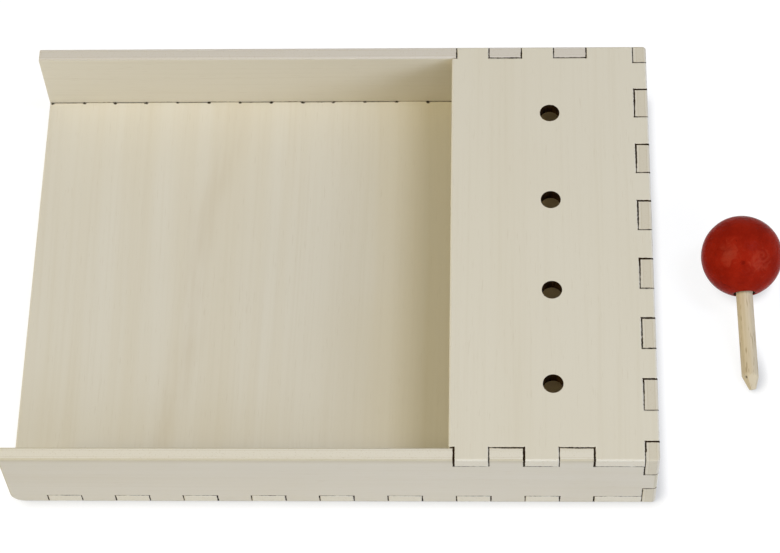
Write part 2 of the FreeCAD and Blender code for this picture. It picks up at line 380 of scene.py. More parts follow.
def floor_streak_and_shade(tree, place, parts, broken, colour):
    """A streak that drifts across the tray floor, and painted shade: the floor warmer towards the cover
    and darker under it.
    """
    wander = grain_noise(tree, stretch(tree, place, (30, 30, 30)), 1.0, 2.0).outputs["Fac"]
    wander = maths(tree, "MULTIPLY", maths(tree, "SUBTRACT", wander, 0.5), STREAK_WANDER)
    drifted = maths(tree, "ADD", parts["X"], wander)
    middle = maths(tree, "MULTIPLY_ADD", parts["Y"], STREAK_SLOPE, STREAK_START)
    off = maths(tree, "SUBTRACT", drifted, middle)
    streak = ramp(tree, maths(tree, "ABSOLUTE", off), 0.0, STREAK_WIDTH, 1.0, 0.0)
    share = maths(tree, "MULTIPLY", streak, ramp(tree, broken, 0.3, 0.75, 0.05, 0.3))
    colour = mix_colour(tree, share, colour, STREAK_TAN)
    # Painted shade: the floor grows warmer towards the cover, and darker under it out to the row of holes
    painted_shade_side = ramp(tree, drifted, 0.0, SHADE_SIDE_REACH, 0.0, 0.35)
    colour = mix_colour(tree, painted_shade_side, colour, FLOOR_SHADE_TAN)
    painted_shade_under_cover = ramp(tree, drifted, COVER_FREE_EDGE, HOLE_ROW_X, 0.0, 0.5)
    return mix_colour(tree, painted_shade_under_cover, colour, SMOKE_AND_SHADE_TAN)


def floor_seam_shade_and_dots(tree, place, parts, broken, colour):
    """Painted shade in a thin line along the seam with the tray's walls, and a burnt dot at each corner of
    a tab.
    """
    # Painted shade: a thin darker line where the floor meets each wall
    from_wall = maths(tree, "SUBTRACT", maths(tree, "ABSOLUTE", parts["Y"]), SEAM_Y)
    ragged = maths(tree, "MULTIPLY_ADD", broken, SEAM_SHADE_WIDTH, from_wall)
    seam_shade_share = ramp(tree, ragged, 0.0, SEAM_SHADE_WIDTH, 0.0, 0.75)
    colour = mix_colour(tree, seam_shade_share, colour, SEAM_SHADE_BROWN)
    from_tab = maths(tree, "PINGPONG", maths(tree, "SUBTRACT", parts["X"], FIRST_TAB), TAB_WIDTH / 2)
    squares = [maths(tree, "POWER", offset, 2.0) for offset in (from_tab, from_wall)]
    from_corner = maths(tree, "SQRT", maths(tree, "ADD", *squares))
    blot = grain_noise(tree, place, 700.0, 1.0).outputs["Fac"]
    ragged = maths(tree, "MULTIPLY_ADD", maths(tree, "SUBTRACT", blot, 0.5), DOT_BLOT, from_corner)
    dot_share = ramp(tree, ragged, DOT_CORE, DOT_REACH, 0.95, 0.0)
    return mix_colour(tree, dot_share, colour, BURNT_BROWN)


def floor_marks(tree, place, colour):
    """The tray floor's own marks and its painted shade, broken up by one noise along the grain."""
    parts = add_node(tree, "ShaderNodeSeparateXYZ", {0: place}).outputs
    broken = grain_noise(tree, stretch(tree, place, (260, 26, 260)), 1.0, 2.0, 0.6).outputs["Fac"]
    colour = floor_streak_and_shade(tree, place, parts, broken, colour)
    return floor_seam_shade_and_dots(tree, place, parts, broken, colour)


def painted_top_shade(tree, place, colour):
    """A wall's face, darker towards its top edge as painted shade."""
    height = add_node(tree, "ShaderNodeSeparateXYZ", {0: place}).outputs["Z"]
    rim = ramp(tree, height, TOP_SHADE_START, TOP_SHADE_FULL, 0.0, 0.4)
    return mix_colour(tree, rim, colour, EDGE_SHADE_TAN)


def veneer(name, turn, start, pale, warm, streak_low, streak_high, marks=None):
    """Pale rotary-cut veneer, with its grain turned about Z and moved to its own part of the log."""
    material, tree, shader = new_material(name)
    place = place_on_piece(tree)
    turned = add_node(tree, "ShaderNodeMapping", {
        "Vector": place, "Location": start, "Rotation": (0, 0, math.radians(turn)),
    }).outputs[0]
    grain = use_group(tree, WOOD_GRAIN, {"Place": turned, "Wander": 0.006})
    burnt = scorch_of_piece(tree, place)
    colour = mix_colour(tree, ramp(tree, grain["Streaks"], streak_low, streak_high), pale, warm)
    line_share = ramp(tree, grain["Lines"], 0.45, 0.75, 0.0, 0.08)
    colour = mix_colour(tree, line_share, colour, GRAIN_LINE)
    colour = tint(tree, colour, grain["Flecks"], 0.13, FLECK_BROWN)
    patch_share = ramp(tree, grain["Patches"], 0.4, 0.75, 0.0, 0.35)
    colour = mix_colour(tree, patch_share, colour, warm)
    if marks:
        colour = marks(tree, place, colour)
    colour = tint(tree, colour, burnt["Haze"], 0.4, SMOKE_AND_SHADE_TAN)
    colour = mix_colour(tree, burnt["Burn"], colour, BURNT_BROWN)
    rough = ramp(tree, grain["Lines"], 0.3, 0.7, 0.58, 0.72)
    set_surface(tree, shader, colour, rough, VENEER_GLOSS)
    add_bump(tree, shader, grain["Height"], 0.25, VENEER_RELIEF)
    return material


def sanded_edge(name, axis, middle, pale=SANDED_EDGE, core=EDGE_CORE, rim_shade_share=0.0):
    """The sanded edge of a plate, whose layers lie along one axis about its middle."""
    material, tree, shader = new_material(name)
    place = place_on_piece(tree)
    parts = add_node(tree, "ShaderNodeSeparateXYZ", {0: place}).outputs
    across = maths(tree, "SUBTRACT", parts[axis], middle)
    layers = use_group(tree, PLY_LAYERS, {"Place": place, "Across": across})
    burnt = scorch_of_piece(tree, place)
    colour = tint(tree, pale, layers["Core"], 0.5, core)
    colour = tint(tree, colour, layers["Pores"], 0.3, GRAIN_LINE)
    colour = tint(tree, colour, layers["Glue"], 0.4, GLUE_LINE)
    # Painted shade: darker towards both faces of the plate, along its arrises
    if rim_shade_share:
        rim = ramp(tree, maths(tree, "ABSOLUTE", across), RIM_SHADE_START, RIM_SHADE_FULL, 0.0, rim_shade_share)
        colour = mix_colour(tree, rim, colour, EDGE_SHADE_TAN)
    colour = tint(tree, colour, burnt["Haze"], 0.3, SMOKE_AND_SHADE_TAN)
    colour = mix_colour(tree, burnt["Burn"], colour, BURNT_BROWN)
    rough = ramp(tree, layers["Pores"], 0.0, 1.0, 0.6, 0.8)
    set_surface(tree, shader, colour, rough, EDGE_GLOSS)
    add_bump(tree, shader, layers["Pores"], -0.2, EDGE_RELIEF)
    return material


def charred_cut_and_bore_shade():
    """The wall of a laser cut, burnt brown and striped across by the beam; it is also laid in the ball's
    bore as painted shade.
    """
    material, tree, shader = new_material("charred_cut_and_bore_shade")
    place = place_on_piece(tree)
    stripes = grain_noise(tree, stretch(tree, place, (1600, 1600, 120)), 1.0, 2.0).outputs["Fac"]
    soot = grain_noise(tree, place, 420.0, 2.0).outputs["Fac"]
    share = maths(tree, "MULTIPLY_ADD", stripes, 0.6, maths(tree, "MULTIPLY", soot, 0.4))
    colour = mix_colour(tree, ramp(tree, share, 0.38, 0.66), CUT_AND_BORE_BLACK, CUT_AND_BORE_BROWN)
    rough = ramp(tree, soot, 0.3, 0.7, 0.75, 0.95)
    set_surface(tree, shader, colour, rough, CHAR_GLOSS)
    add_bump(tree, shader, stripes, 0.4, CHAR_RELIEF)
    return material


def joint_glue():
    """Dried glue stained by soot, seen at the bottom of the joints."""
    material, tree, shader = new_material("joint_glue")
    place = place_on_piece(tree)
    soot = grain_noise(tree, place, 320.0, 2.0).outputs["Fac"]
    colour = mix_colour(tree, ramp(tree, soot, 0.38, 0.62), DRIED_GLUE, SOOTY_GLUE)
    rough = ramp(tree, soot, 0.3, 0.7, 0.5, 0.7)
    set_surface(tree, shader, colour, rough, GLUE_GLOSS)
    return material


CHAR_AND_BORE_SHADE = charred_cut_and_bore_shade()
GLUE = joint_glue()


# The five plates: merged copies of the CAD plates, eased where sanded and scorched where cut

def near(value, target):
    return abs(value - target) < TINY


def at_hole(point):
    """Whether a point of the cover is at one of its holes."""
    return any((point.xy - hole.xy).length < HOLE_REACH for hole in HOLES)


def on_outer_planes(point):
    """The outer planes of the box that a point lies on."""
    found = set()
    if near(abs(point.x), BOX_X):
        found.add("right" if point.x > 0 else "left")
    if near(abs(point.y), BOX_Y):
        found.add("back" if point.y > 0 else "front")
    if near(point.z, 0):
        found.add("under")
    if near(point.z, BOX_TOP):
        found.add("top")
    return found


def is_axis_aligned(normal):
    """Whether a face is one of the plate's flat faces, rather than part of a rounding."""
    return max(abs(part) for part in normal) > FLAT


def plate_copy(node_name):
    """A merged copy of a CAD plate with its flat faces whole."""
    plate = bmesh.new()
    plate.from_mesh(frame["nodes"][node_name].data)
    bmesh.ops.remove_doubles(plate, verts=plate.verts[:], dist=MERGE)
    bmesh.ops.dissolve_limit(
        plate, angle_limit=FLAT_FOLD, use_dissolve_boundaries=False,
        verts=plate.verts[:], edges=plate.edges[:], delimit={"NORMAL"},
    )
    return plate


def is_free_edge(node_name, first, second):
    """Edges of a plate that no other plate meets."""
    middle = (first + second) / 2
    if node_name == "top_plate":
        return near(first.x, COVER_FREE_EDGE) and near(second.x, COVER_FREE_EDGE)
    if node_name == "base_plate":
        at_open_end = near(first.x, -BOX_X) and near(second.x, -BOX_X)
        return at_open_end and near(first.z, PLY) and near(second.z, PLY)
    if node_name in ("front_wall", "back_wall"):
        inner = BOX_Y - PLY
        on_inner = near(abs(first.y), inner) and near(abs(second.y), inner)
        at_top = near(first.z, BOX_TOP) and near(second.z, BOX_TOP)
        return on_inner and at_top and middle.x < COVER_FREE_EDGE
    return False


def rounded_rim(node_name, edge):
    """Edges of the rounded lower corner of the long walls."""
    if node_name not in ("front_wall", "back_wall") or edge.verts[0].co.x > ROUNDED_END:
        return False
    curved = [face for face in edge.link_faces if not is_axis_aligned(face.normal)]
    outside = [face for face in edge.link_faces if abs(face.normal.y) > FLAT
               and near(abs(face.verts[0].co.y), BOX_Y)]
    return len(curved) == 1 and len(outside) == 1


def ease(shape, edges, width, segments=EASE_SEGMENTS):
    """Rounds some edges of a piece, if there are any."""
    if edges:
        bmesh.ops.bevel(
            shape, geom=edges, offset=width, offset_type="OFFSET", segments=segments, profile=0.5,
            affect="EDGES", clamp_overlap=True, material=-1,
        )


def shared_planes(edge):
    """The outer planes of the box that an edge lies in."""
    return on_outer_planes(edge.verts[0].co) & on_outer_planes(edge.verts[1].co)


def ends_upright_corner(edge):
    """Whether an edge is part of the arc where a rounded upright corner meets the top or the underside."""
    if len(edge.link_faces) != 2 or len(shared_planes(edge) & {"top", "under"}) != 1:
        return False
    first, second = edge.verts[0].co, edge.verts[1].co
    at_right = min(first.x, second.x) > BOX_X - CORNER_EASE - TINY
    at_side = abs(first.y) > BOX_Y - CORNER_EASE - TINY
    return at_right and at_side and edge.calc_face_angle(0) > CORNER_FOLD


def ease_outer_edges(plate, node_name):
    """Rounds the sanded edges of the box, its upright corners more than the rest."""
    upright = []
    for edge in plate.edges:
        planes = shared_planes(edge)
        if "right" in planes and planes & {"front", "back"}:
            upright.append(edge)
    ease(plate, upright, CORNER_EASE, CORNER_SEGMENTS)
    plate.normal_update()
    sanded = []
    for edge in plate.edges:
        outer = len(shared_planes(edge)) >= 2 or ends_upright_corner(edge)
        free = is_free_edge(node_name, edge.verts[0].co, edge.verts[1].co)
        if outer or free or rounded_rim(node_name, edge):
            sanded.append(edge)
    ease(plate, sanded, EDGE_EASE)
    plate.normal_update()


def rim_class(node_name, thick_axis, face):
    """Whether a face is broad veneer, a sanded edge or the wall of a cut."""
    middle = face.calc_center_median()
    if abs(face.normal[thick_axis]) > FLAT:
        return VENEER_FACE
    if node_name == "top_plate" and at_hole(middle):
        return CUT_FACE
    if on_outer_planes(middle) or not is_axis_aligned(face.normal):
        return SANDED_FACE
    if node_name == "top_plate" and near(middle.x, COVER_FREE_EDGE):
        return SANDED_FACE
    return CUT_FACE


def main_axis(normal):
    return max(range(3), key=lambda part: abs(normal[part]))


def is_flat_cut(face):
    return face.material_index == CUT_FACE and is_axis_aligned(face.normal)


def slice_faces(plate, faces, middle, across):
    """Cuts some faces along a plane, and keeps both sides of it."""
    edges = {edge for face in faces for edge in face.edges}
    corners = {vertex for face in faces for vertex in face.verts}
    bmesh.ops.bisect_plane(
        plate, geom=list(faces) + list(edges) + list(corners), dist=SLICE_SNAP,
        plane_co=middle, plane_no=across,
    )


def split_eased_strips(plate):
    """Cuts the rounded strips a little way from the laser cuts they end at, so that scorch ends there."""
    cuts = [face for face in plate.faces if is_flat_cut(face)]
    for cut in cuts:
        across = Vector((0, 0, 0))
        across[main_axis(cut.normal)] = 1.0
        middle = cut.calc_center_median() - cut.normal * SCORCH_BAND
        strips = {face for vertex in cut.verts for face in vertex.link_faces
                  if face.material_index == SANDED_FACE and not is_axis_aligned(face.normal)}
        if strips:
            slice_faces(plate, strips, middle, across)
            plate.normal_update()


def split_scorch_bands(plate):
    """Cuts the bands beside each laser cut near their ends, so that a burnt corner stays a corner."""
    slices = []
    for cut in plate.faces:
        if not is_flat_cut(cut):
            continue
        for edge in cut.edges:
            long_enough = edge.calc_length() > BAND_LEAST
            beside = [face for face in edge.link_faces if face.material_index != CUT_FACE]
            if long_enough and beside:
                first, second = (vertex.co.copy() for vertex in edge.verts)
                along = (second - first).normalized()
                slices.append((cut, first + along * CORNER_BURN_REACH, along))
                slices.append((cut, second - along * CORNER_BURN_REACH, along))
    for cut, middle, along in slices:
        bands = {face for edge in cut.edges for face in edge.link_faces
                 if face.material_index != CUT_FACE and len(face.verts) < BAND_CORNERS}
        slice_faces(plate, bands, middle, along)


def add_scorch(plate, node_name):
    """Marks each vertex of a laser cut with how far the burn spreads from it, most at inner corners."""
    scorch = plate.verts.layers.float.new("scorch")
    for vertex in plate.verts:
        cuts = [face for face in vertex.link_faces if face.material_index == CUT_FACE]
        if not cuts:
            continue
        levels = [scorch_level(node_name, face.normal, face.calc_center_median()) for face in cuts]
        vertex[scorch] = max(levels)
        directions = {main_axis(face.normal) for face in cuts}
        if len(directions) > 1:
            vertex[scorch] += CORNER_BURN[node_name]


def scorch_level(node_name, normal, middle):
    """How far a cut burnt the faces beside it, most on the side of a joint that stands a little open."""
    axis = main_axis(normal)
    if node_name == "front_wall":
        if middle.z < BOX_TOP / 2:
            return FRONT_TAB_TOP_BURN if axis == 2 else FRONT_TAB_SIDE_BURN
        return FRONT_OPEN_BURN if axis == 0 and normal.x > 0 else FRONT_CLOSED_BURN
    if node_name == "top_plate":
        if at_hole(middle):
            return HOLE_BURN
        if axis == 0 and middle.y < 0:
            return COVER_OPEN_BURN if normal.x < 0 else COVER_CLOSED_BURN
        if axis == 1 and middle.x > BOX_X - PLY:
            return END_OPEN_BURN if normal.y < 0 else END_NOTCH_BURN
        return SEAT_BURN if axis == 1 else PLAIN_BURN
    if node_name == "end_wall":
        return END_OPEN_BURN if axis == 1 and normal.y > 0 else END_TAB_BURN
    if node_name == "base_plate":
        return SEAT_BURN if axis == 1 and abs(middle.y) > LONG_SEAT_Y else FLOOR_BURN
    return PLAIN_BURN


def has_glue(node_name, face):
    """The cut faces that carry the glue of a joint, one of each pair."""
    if not is_flat_cut(face):
        return False
    middle = face.calc_center_median()
    if node_name in ("base_plate", "top_plate"):
        return not at_hole(middle) and main_axis(face.normal) != 2
    if node_name == "end_wall":
        at_corner = abs(middle.y) > BOX_Y - PLY - GLUE_MARGIN
        between = PLY + 2 * GLUE_MARGIN < middle.z < BOX_TOP - PLY - 2 * GLUE_MARGIN
        return at_corner and (main_axis(face.normal) == 1 or between)
    return near(middle.x, BOX_X - PLY - JOINT_GAP)


def glue_joints(plate, node_name):
    """Closes each joint with glue a little below the surface, so that no light shows through it."""
    seats = [face for face in plate.faces if has_glue(node_name, face)]
    bmesh.ops.inset_individual(plate, faces=seats, thickness=GLUE_SETBACK, depth=0.0, use_even_offset=True)
    lifted = bmesh.ops.extrude_discrete_faces(plate, faces=seats)["faces"]
    for face in lifted:
        bmesh.ops.translate(plate, vec=face.normal * JOINT_GAP * GLUE_FILL, verts=face.verts[:])
        face.material_index = GLUE_FACE


def add_scorch_bands(plate):
    """Insets each flat side of a plate, so that the scorch has narrow bands to fade in."""
    flat_sets = {}
    for face in plate.faces:
        if face.material_index == CUT_FACE or not is_axis_aligned(face.normal):
            continue
        axis = main_axis(face.normal)
        level = round(face.calc_center_median()[axis] / MM, 2)
        flat_sets.setdefault((axis, level), []).append(face)
    for faces in flat_sets.values():
        bmesh.ops.inset_region(
            plate, faces=faces, thickness=SCORCH_BAND, depth=0.0, use_boundary=True,
            use_even_offset=True, use_interpolate=True,
        )
    bmesh.ops.remove_doubles(plate, verts=plate.verts[:], dist=BAND_MERGE)


def make_plate(piece_name, node_name, thick_axis, materials):
    """A plate's visible piece: veneer faces, sanded edges, charred cuts and glue."""
    plate = plate_copy(node_name)
    ease_outer_edges(plate, node_name)
    for face in plate.faces:
        face.material_index = rim_class(node_name, thick_axis, face)
    split_eased_strips(plate)
    add_scorch_bands(plate)
    split_scorch_bands(plate)
    add_scorch(plate, node_name)
    glue_joints(plate, node_name)
    return finish_piece(piece_name, plate, materials)


def finish_piece(piece_name, shape, materials, sharp_fold=SHARP_FOLD):
    """A bmesh as a finished object at the origin, with its materials and smooth shading."""
    mesh = bpy.data.meshes.new(piece_name)
    shape.to_mesh(mesh)
    shape.free()
    for material in materials:
        mesh.materials.append(material)
    mesh.shade_smooth()
    mesh.set_sharp_from_angle(angle=sharp_fold)
    piece = bpy.data.objects.new(piece_name, mesh)
    bpy.context.scene.collection.objects.link(piece)
    return piece


# The floor and the front wall carry painted shade in their marks
FLOOR_VENEER = veneer("floor_veneer", 0, (0, 0, 0), FLOOR_PALE, FLOOR_WARM, 0.38, 0.72, floor_marks)
COVER_VENEER = veneer("cover_veneer", 0, (0.31, 0.2, 0), PALE_VENEER, COVER_WARM, 0.42, 0.85)
WALL_VENEER = veneer("wall_veneer", 90, (0.7, 0.4, 0.1), FRONT_GREY, FRONT_WARM, 0.42, 0.85, painted_top_shade)
BACK_VENEER = veneer("back_veneer", 90, (0.5, 0.8, 0.3), BRIGHT_VENEER, BRIGHT_WARM, 0.42, 0.85)
END_VENEER = veneer("end_veneer", 0, (1.3, 0.9, 0), PALE_VENEER, WARM_VENEER, 0.4, 0.8)
FLOOR_EDGE = sanded_edge("floor_edge", 2, PLY / 2)
COVER_EDGE = sanded_edge("cover_edge", 2, BOX_TOP - PLY / 2)
# The front wall's sanded edges are darker along their arrises as painted shade
FRONT_EDGE = sanded_edge("front_edge", 1, PLY / 2 - BOX_Y, rim_shade_share=0.6)
BACK_EDGE = sanded_edge("back_edge", 1, BOX_Y - PLY / 2, GREY_EDGE, GREY_CORE)
END_EDGE = sanded_edge("end_edge", 0, BOX_X - PLY / 2, END_TAN, END_CORE)

PLATES = (
    ("tray_floor", "base_plate", 2, (FLOOR_VENEER, FLOOR_EDGE, CHAR_AND_BORE_SHADE, GLUE)),
    ("tray_front", "front_wall", 1, (WALL_VENEER, FRONT_EDGE, CHAR_AND_BORE_SHADE, GLUE)),
    ("tray_back", "back_wall", 1, (BACK_VENEER, BACK_EDGE, CHAR_AND_BORE_SHADE, GLUE)),
    ("tray_end", "end_wall", 0, (END_VENEER, END_EDGE, CHAR_AND_BORE_SHADE, GLUE)),
    ("tray_cover", "top_plate", 2, (COVER_VENEER, COVER_EDGE, CHAR_AND_BORE_SHADE, GLUE)),
)
for piece_name, node_name, thick_axis, materials in PLATES:
    piece = make_plate(piece_name, node_name, thick_axis, materials)
    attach(piece, "box")
    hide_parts(node_name)


# The jack: a painted ball on a whittled peg

BALL_RADIUS = 12.25 * MM
PEG_RADIUS = 2.5 * MM
PEG_REACH = 41.25 * MM
PEG_SHANK = 36.75 * MM
MOUTH_RADIUS = 3.5 * MM
BORE_RADIUS = 2.55 * MM
BORE_END = 0.5 * MM

# Where it lies beside the tray, so that the ball and the peg's shoulder touch the table
JACK_STAND_OFF = 27.7 * MM
JACK_BACK = 4.9 * MM
BALL_MIDDLE = Vector((BOX_X + JACK_STAND_OFF, JACK_BACK, BALL_RADIUS))
PEG_TURN = math.radians(2.6)
PEG_DIP = math.asin(BALL_RADIUS / math.hypot(PEG_SHANK, PEG_RADIUS)) - math.atan(PEG_RADIUS / PEG_SHANK)

# Turning, painting and whittling
BALL_ARC_STEPS = 56
BALL_TURN_STEPS = 112
MOUTH_EASE = 0.3 * MM
PAINT_SKIN = 0.05 * MM
LUMPS_END = 11 * MM
LUMP_SIZE = 5.5 * MM
LUMP_DEPTH = 0.03 * MM
SMALL_LUMP_SIZE = LUMP_SIZE / 2.7
SMALL_LUMP_SHARE = 0.4
BORE_DEPTH = 0.35 * MM
PEG_SIDES = 64
PEG_SHARP_FOLD = math.radians(14)
POINT_RADIUS = 0.9 * MM
POINT_OFFSET = 0.45 * MM
# Each knife cut's turn about the peg in degrees, and where along the peg it starts in millimetres
WHITTLED = ((72, 36.6), (18, 36.9), (330, 36.7), (285, 36.9), (240, 36.6), (198, 36.8), (152, 36.5))
END_TRIM = 0.05 * MM
END_TILT = Vector((0.12, -0.1, 1)).normalized()
END_EASE = 0.45 * MM
END_REACH = 0.6 * MM

# Finishes and marks of the jack, with its two painted highlights, and places in the frame for the ball and
# along the peg for its nick
DEEP_RED = linear(136, 26, 11)
BRIGHT_RED = linear(150, 32, 15)
# Painted highlight on the ball
SCUFF_RED = linear(98, 20, 13)
PAINTED_HIGHLIGHT_RED = linear(168, 60, 40)
NICK_RED = linear(112, 14, 5)
DOWEL_PALE = linear(204, 190, 162)
DOWEL_TAN = linear(195, 179, 149)
FRESH_CUT = linear(214, 201, 172)
DOWEL_FLECK = linear(142, 120, 84)
NICK_BROWN = linear(74, 58, 34)
# Where the two painted highlights lie on the ball, and how far each reaches
PAINTED_HIGHLIGHT_SPOTS = (
    Vector((117.4, 0.3, 22.4)) * MM,
    Vector((126.1, -2.3, 21.3)) * MM,
)
PAINTED_HIGHLIGHT_CORE = 7.5 * MM
PAINTED_HIGHLIGHT_REACH = 12 * MM
PAINTED_HIGHLIGHT_RAGGED = 15 * MM
PAINT_NICK = Vector((121.5, -2.9, 21.7)) * MM
PAINT_NICK_CORE = 0.7 * MM
PAINT_NICK_REACH = 1.3 * MM
PAINT_NICK_RAGGED = 0.8 * MM
PEG_NICK = Vector((-1.25, 37.6, -1.9)) * MM
PEG_NICK_CORE = 0.25 * MM
PEG_NICK_REACH = 0.55 * MM
FRESH_CUT_START = 38.0 * MM
FRESH_CUT_FULL = 38.6 * MM
FRESH_CUT_RAGGED = 3 * MM


def jack_place():
    """From the jack's own frame, peg along +Z and world right along +X, to its place on the table."""
    level = math.cos(PEG_DIP)
    along = Vector((level * math.sin(PEG_TURN), -level * math.cos(PEG_TURN), -math.sin(PEG_DIP)))
    right = Vector((1, 0, 0))
    right = (right - along * right.dot(along)).normalized()
    up = along.cross(right)
    turned = Matrix((right, up, along)).transposed().to_4x4()
    return Matrix.Translation(BALL_MIDDLE) @ turned


JACK_PLACE = jack_place()
PEG_GRAIN = Matrix.Rotation(math.radians(-90), 4, "X") @ JACK_PLACE.inverted()


def distance_to(tree, place, spot):
    away = add_node(tree, "ShaderNodeVectorMath", {0: place, 1: spot}, operation="DISTANCE")
    return away.outputs["Value"]


def red_paint():
    """Brushed satin paint, a little uneven, with two painted highlights, small dark scuffs and one nick.
    """
    material, tree, shader = new_material("red_paint")
    place = place_on_piece(tree)
    uneven = grain_noise(tree, place, 240.0, 3.0, 0.55).outputs["Fac"]
    fine = grain_noise(tree, place, 1500.0, 2.0, 0.5).outputs["Fac"]
    colour = mix_colour(tree, ramp(tree, uneven, 0.32, 0.68), DEEP_RED, BRIGHT_RED)
    crinkle = grain_noise(tree, place, 330.0, 3.0, 0.6, 1.4).outputs["Fac"]
    scuff_share = ramp(tree, crinkle, 0.64, 0.74, 0.0, 0.6)
    colour = mix_colour(tree, scuff_share, colour, SCUFF_RED)
    # Painted highlights: lighter red spots where the lamps' reflections fall
    for spot in PAINTED_HIGHLIGHT_SPOTS:
        ragged = maths(tree, "MULTIPLY_ADD", crinkle, PAINTED_HIGHLIGHT_RAGGED, distance_to(tree, place, spot))
        painted_highlight_share = ramp(tree, ragged, PAINTED_HIGHLIGHT_CORE, PAINTED_HIGHLIGHT_REACH, 0.5, 0.0)
        colour = mix_colour(tree, painted_highlight_share, colour, PAINTED_HIGHLIGHT_RED)
    ragged = maths(tree, "MULTIPLY_ADD", fine, PAINT_NICK_RAGGED, distance_to(tree, place, PAINT_NICK))
    nick_share = ramp(tree, ragged, PAINT_NICK_CORE, PAINT_NICK_REACH, 0.65, 0.0)
    colour = mix_colour(tree, nick_share, colour, NICK_RED)
    rough = ramp(tree, uneven, 0.3, 0.7, 0.2, 0.3)
    set_surface(tree, shader, colour, rough, PAINT_GLOSS)
    height = maths(tree, "ADD", maths(tree, "MULTIPLY", uneven, 0.6), crinkle)
    height = maths(tree, "ADD", height, maths(tree, "MULTIPLY", fine, 0.1))
    height = maths(tree, "SUBTRACT", height, nick_share)
    add_bump(tree, shader, height, 0.45, PAINT_RELIEF)
    return material


def dowel_wood():
    """Pale turned dowel, with its grain along the peg, dark flecks and one nick by the point."""
    material, tree, shader = new_material("dowel_wood")
    place = place_on_piece(tree)
    turned = add_node(tree, "ShaderNodeMapping", {
        "Vector": place, "Location": PEG_GRAIN.to_translation(), "Rotation": PEG_GRAIN.to_euler(),
    }).outputs[0]
    grain = use_group(tree, WOOD_GRAIN, {"Place": turned, "Wander": 0.0012})
    colour = mix_colour(tree, ramp(tree, grain["Lines"], 0.35, 0.7), DOWEL_PALE, DOWEL_TAN)
    dashes = grain_noise(tree, stretch(tree, turned, (1500, 210, 1500)), 1.0, 1.0).outputs["Fac"]
    dash_share = ramp(tree, dashes, 0.6, 0.7, 0.0, 0.6)
    colour = mix_colour(tree, dash_share, colour, DOWEL_FLECK)
    colour = tint(tree, colour, grain["Flecks"], 0.4, DOWEL_FLECK)
    along = add_node(tree, "ShaderNodeSeparateXYZ", {0: turned}).outputs["Y"]
    ragged = maths(tree, "MULTIPLY_ADD", dashes, FRESH_CUT_RAGGED, along)
    cut_share = ramp(tree, ragged, FRESH_CUT_START, FRESH_CUT_FULL, 0.0, 0.5)
    colour = mix_colour(tree, cut_share, colour, FRESH_CUT)
    from_nick = distance_to(tree, turned, PEG_NICK)
    nick_share = ramp(tree, from_nick, PEG_NICK_CORE, PEG_NICK_REACH, 0.85, 0.0)
    colour = mix_colour(tree, nick_share, colour, NICK_BROWN)
    rough = ramp(tree, grain["Lines"], 0.3, 0.7, 0.6, 0.75)
    set_surface(tree, shader, colour, rough, DOWEL_GLOSS)
    height = maths(tree, "SUBTRACT", grain["Height"], dash_share)
    add_bump(tree, shader, height, 0.4, DOWEL_RELIEF)
    return material


RED_PAINT = red_paint()
DOWEL_WOOD = dowel_wood()


def turn_ball():
    """A round ball with a countersunk bore along +Z, spun from one profile."""
    ball = bmesh.new()
    pole = ball.verts.new((0, 0, -BALL_RADIUS))
    mouth_angle = math.asin(MOUTH_RADIUS / BALL_RADIUS)
    arc = bmesh.ops.spin(
        ball, geom=[pole], cent=(0, 0, 0), axis=(0, -1, 0), dvec=(0, 0, 0),
        angle=math.pi - mouth_angle, steps=BALL_ARC_STEPS,
        use_merge=False, use_normal_flip=False, use_duplicate=False,
    )
    last = [part for part in arc["geom_last"] if isinstance(part, bmesh.types.BMVert)][0]
    cone_end = last.co.z - (MOUTH_RADIUS - BORE_RADIUS)
    for target in ((BORE_RADIUS, 0, cone_end), (BORE_RADIUS, 0, BORE_END), (0, 0, BORE_END)):
        last = bmesh.ops.extrude_vert_indiv(ball, verts=[last])["verts"][0]
        last.co = target
    bmesh.ops.spin(
        ball, geom=ball.verts[:] + ball.edges[:], cent=(0, 0, 0), axis=(0, 0, 1), dvec=(0, 0, 0),
        angle=2 * math.pi, steps=BALL_TURN_STEPS,
        use_merge=True, use_normal_flip=False, use_duplicate=False,
    )
    bmesh.ops.remove_doubles(ball, verts=ball.verts[:], dist=MERGE)
    bmesh.ops.recalc_face_normals(ball, faces=ball.faces[:])
    return ball


def make_ball():
    """The turned ball with its mouth eased, a little uneven under its paint, and dark in its bore as
    painted shade.
    """
    ball = turn_ball()
    rim = [edge for edge in ball.edges if edge.calc_face_angle(0) > RIM_FOLD
           and all(vertex.co.length > BALL_RADIUS - TINY for vertex in edge.verts)]
    ease(ball, rim, MOUTH_EASE)
    for vertex in ball.verts:
        if vertex.co.length > BALL_RADIUS - PAINT_SKIN and vertex.co.z < LUMPS_END:
            lump = noise.noise(vertex.co / LUMP_SIZE)
            lump += SMALL_LUMP_SHARE * noise.noise(vertex.co / SMALL_LUMP_SIZE)
            vertex.co -= vertex.co.normalized() * LUMP_DEPTH * (1 + lump)
    # Faces deep in the bore take the charred-cut material as painted shade
    for face in ball.faces:
        middle = face.calc_center_median()
        in_bore_shade = middle.z > 0 and middle.length < BALL_RADIUS - BORE_DEPTH
        face.material_index = 1 if in_bore_shade else 0
    bmesh.ops.transform(ball, matrix=JACK_PLACE, verts=ball.verts[:])
    return finish_piece("jack_ball_painted", ball, (RED_PAINT, CHAR_AND_BORE_SHADE))


def knife_cut(peg, middle, outward):
    """Slices off what lies beyond a plane and closes the cut."""
    sliced = bmesh.ops.bisect_plane(
        peg, geom=peg.verts[:] + peg.edges[:] + peg.faces[:], dist=SLICE_SNAP,
        plane_co=middle, plane_no=outward, clear_outer=True,
    )
    rim = [part for part in sliced["geom_cut"] if isinstance(part, bmesh.types.BMEdge)]
    bmesh.ops.holes_fill(peg, edges=rim, sides=0)


